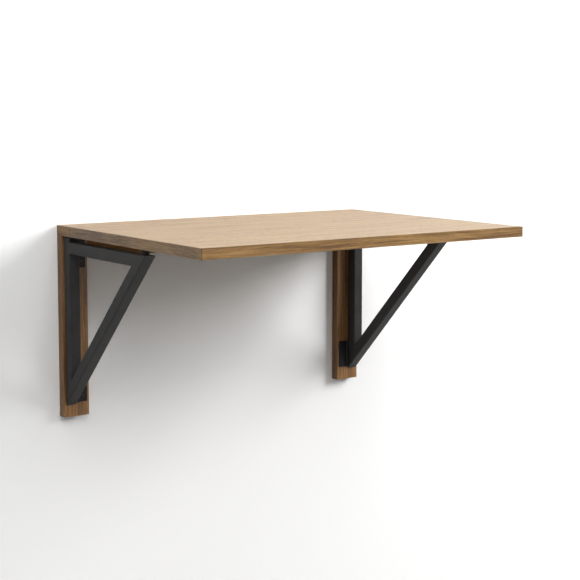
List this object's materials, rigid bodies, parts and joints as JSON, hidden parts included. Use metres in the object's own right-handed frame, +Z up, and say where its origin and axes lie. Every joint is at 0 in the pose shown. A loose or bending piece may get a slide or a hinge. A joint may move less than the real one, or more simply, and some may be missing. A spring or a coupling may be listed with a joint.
{
  "type": "wall mounted drop leaf table",
  "caption": "Wall mounted oak table whose leaf rests on triangular steel frames that swing flat against the wall so that it can hang down.",
  "frame": {"origin": "centre of the four wall screw holes in the two battens, on the wall plane", "axes": "+X along the wall to the right as seen from the room, +Y into the wall, +Z up; the leaf reaches out towards -Y"},
  "size_m": [0.8, 0.6, 0.418],
  "materials": {
    "oak_veneer": "matt lacquered oak veneer",
    "oak_lipping": "matt lacquered solid oak",
    "oak_solid": "matt lacquered solid oak",
    "beech": "raw fluted beech",
    "frame_steel": "fine matt black powder coat",
    "hinge_steel": "black painted steel",
    "pin_steel": "blackened steel",
    "black_zinc": "black zinc plated steel",
    "cap_plastic": "moulded black polyethylene",
    "bumper_rubber": "moulded black rubber"
  },
  "bodies": {
    "wall_frame": {"wall_shelf": "oak_veneer", "shelf_left_lipping": "oak_lipping", "shelf_right_lipping": "oak_lipping", "back_rail": "oak_solid", "left_wall_batten": "oak_solid", "right_wall_batten": "oak_solid", "batten_dowels": "beech", "rail_dowels": "beech", "shelf_screws": "black_zinc", "shelf_hinge_screws": "black_zinc", "left_shelf_hinge_plate": "hinge_steel", "left_leaf_hinge_pin": "pin_steel", "right_shelf_hinge_plate": "hinge_steel", "right_leaf_hinge_pin": "pin_steel", "left_batten_hinge_screws": "black_zinc", "left_upper_batten_plate": "hinge_steel", "left_upper_hinge_pin": "pin_steel", "left_lower_batten_plate": "hinge_steel", "left_lower_hinge_pin": "pin_steel", "right_batten_hinge_screws": "black_zinc", "right_upper_batten_plate": "hinge_steel", "right_upper_hinge_pin": "pin_steel", "right_lower_batten_plate": "hinge_steel", "right_lower_hinge_pin": "pin_steel"},
    "leaf": {"leaf_board": "oak_veneer", "leaf_front_lipping": "oak_lipping", "leaf_left_lipping": "oak_lipping", "leaf_right_lipping": "oak_lipping", "leaf_hinge_screws": "black_zinc", "left_leaf_hinge_plate": "hinge_steel", "right_leaf_hinge_plate": "hinge_steel"},
    "left_frame": {"left_frame_post": "frame_steel", "left_frame_arm": "frame_steel", "left_frame_brace": "frame_steel", "left_post_cap": "cap_plastic", "left_bumper": "bumper_rubber", "left_bumper_screw": "black_zinc", "left_post_hinge_screws": "black_zinc", "left_upper_post_plate": "hinge_steel", "left_lower_post_plate": "hinge_steel"},
    "right_frame": {"right_frame_post": "frame_steel", "right_frame_arm": "frame_steel", "right_frame_brace": "frame_steel", "right_post_cap": "cap_plastic", "right_bumper": "bumper_rubber", "right_bumper_screw": "black_zinc", "right_post_hinge_screws": "black_zinc", "right_upper_post_plate": "hinge_steel", "right_lower_post_plate": "hinge_steel"}
  },
  "joints": [
    {"name": "left_frame_swing", "type": "hinge", "parent": "wall_frame", "child": "left_frame", "pos_m": [-0.3675, -0.0255, 0], "axis": [0, 0, 1], "range_deg": [0, 90]},
    {"name": "right_frame_swing", "type": "hinge", "parent": "wall_frame", "child": "right_frame", "pos_m": [0.3675, -0.0255, 0], "axis": [0, 0, -1], "range_deg": [0, 90]},
    {"name": "leaf_lift", "type": "hinge", "parent": "wall_frame", "child": "leaf", "pos_m": [0, -0.0605, 0.1845], "axis": [-1, 0, 0], "range_deg": [0, 1.5]}
  ]
}
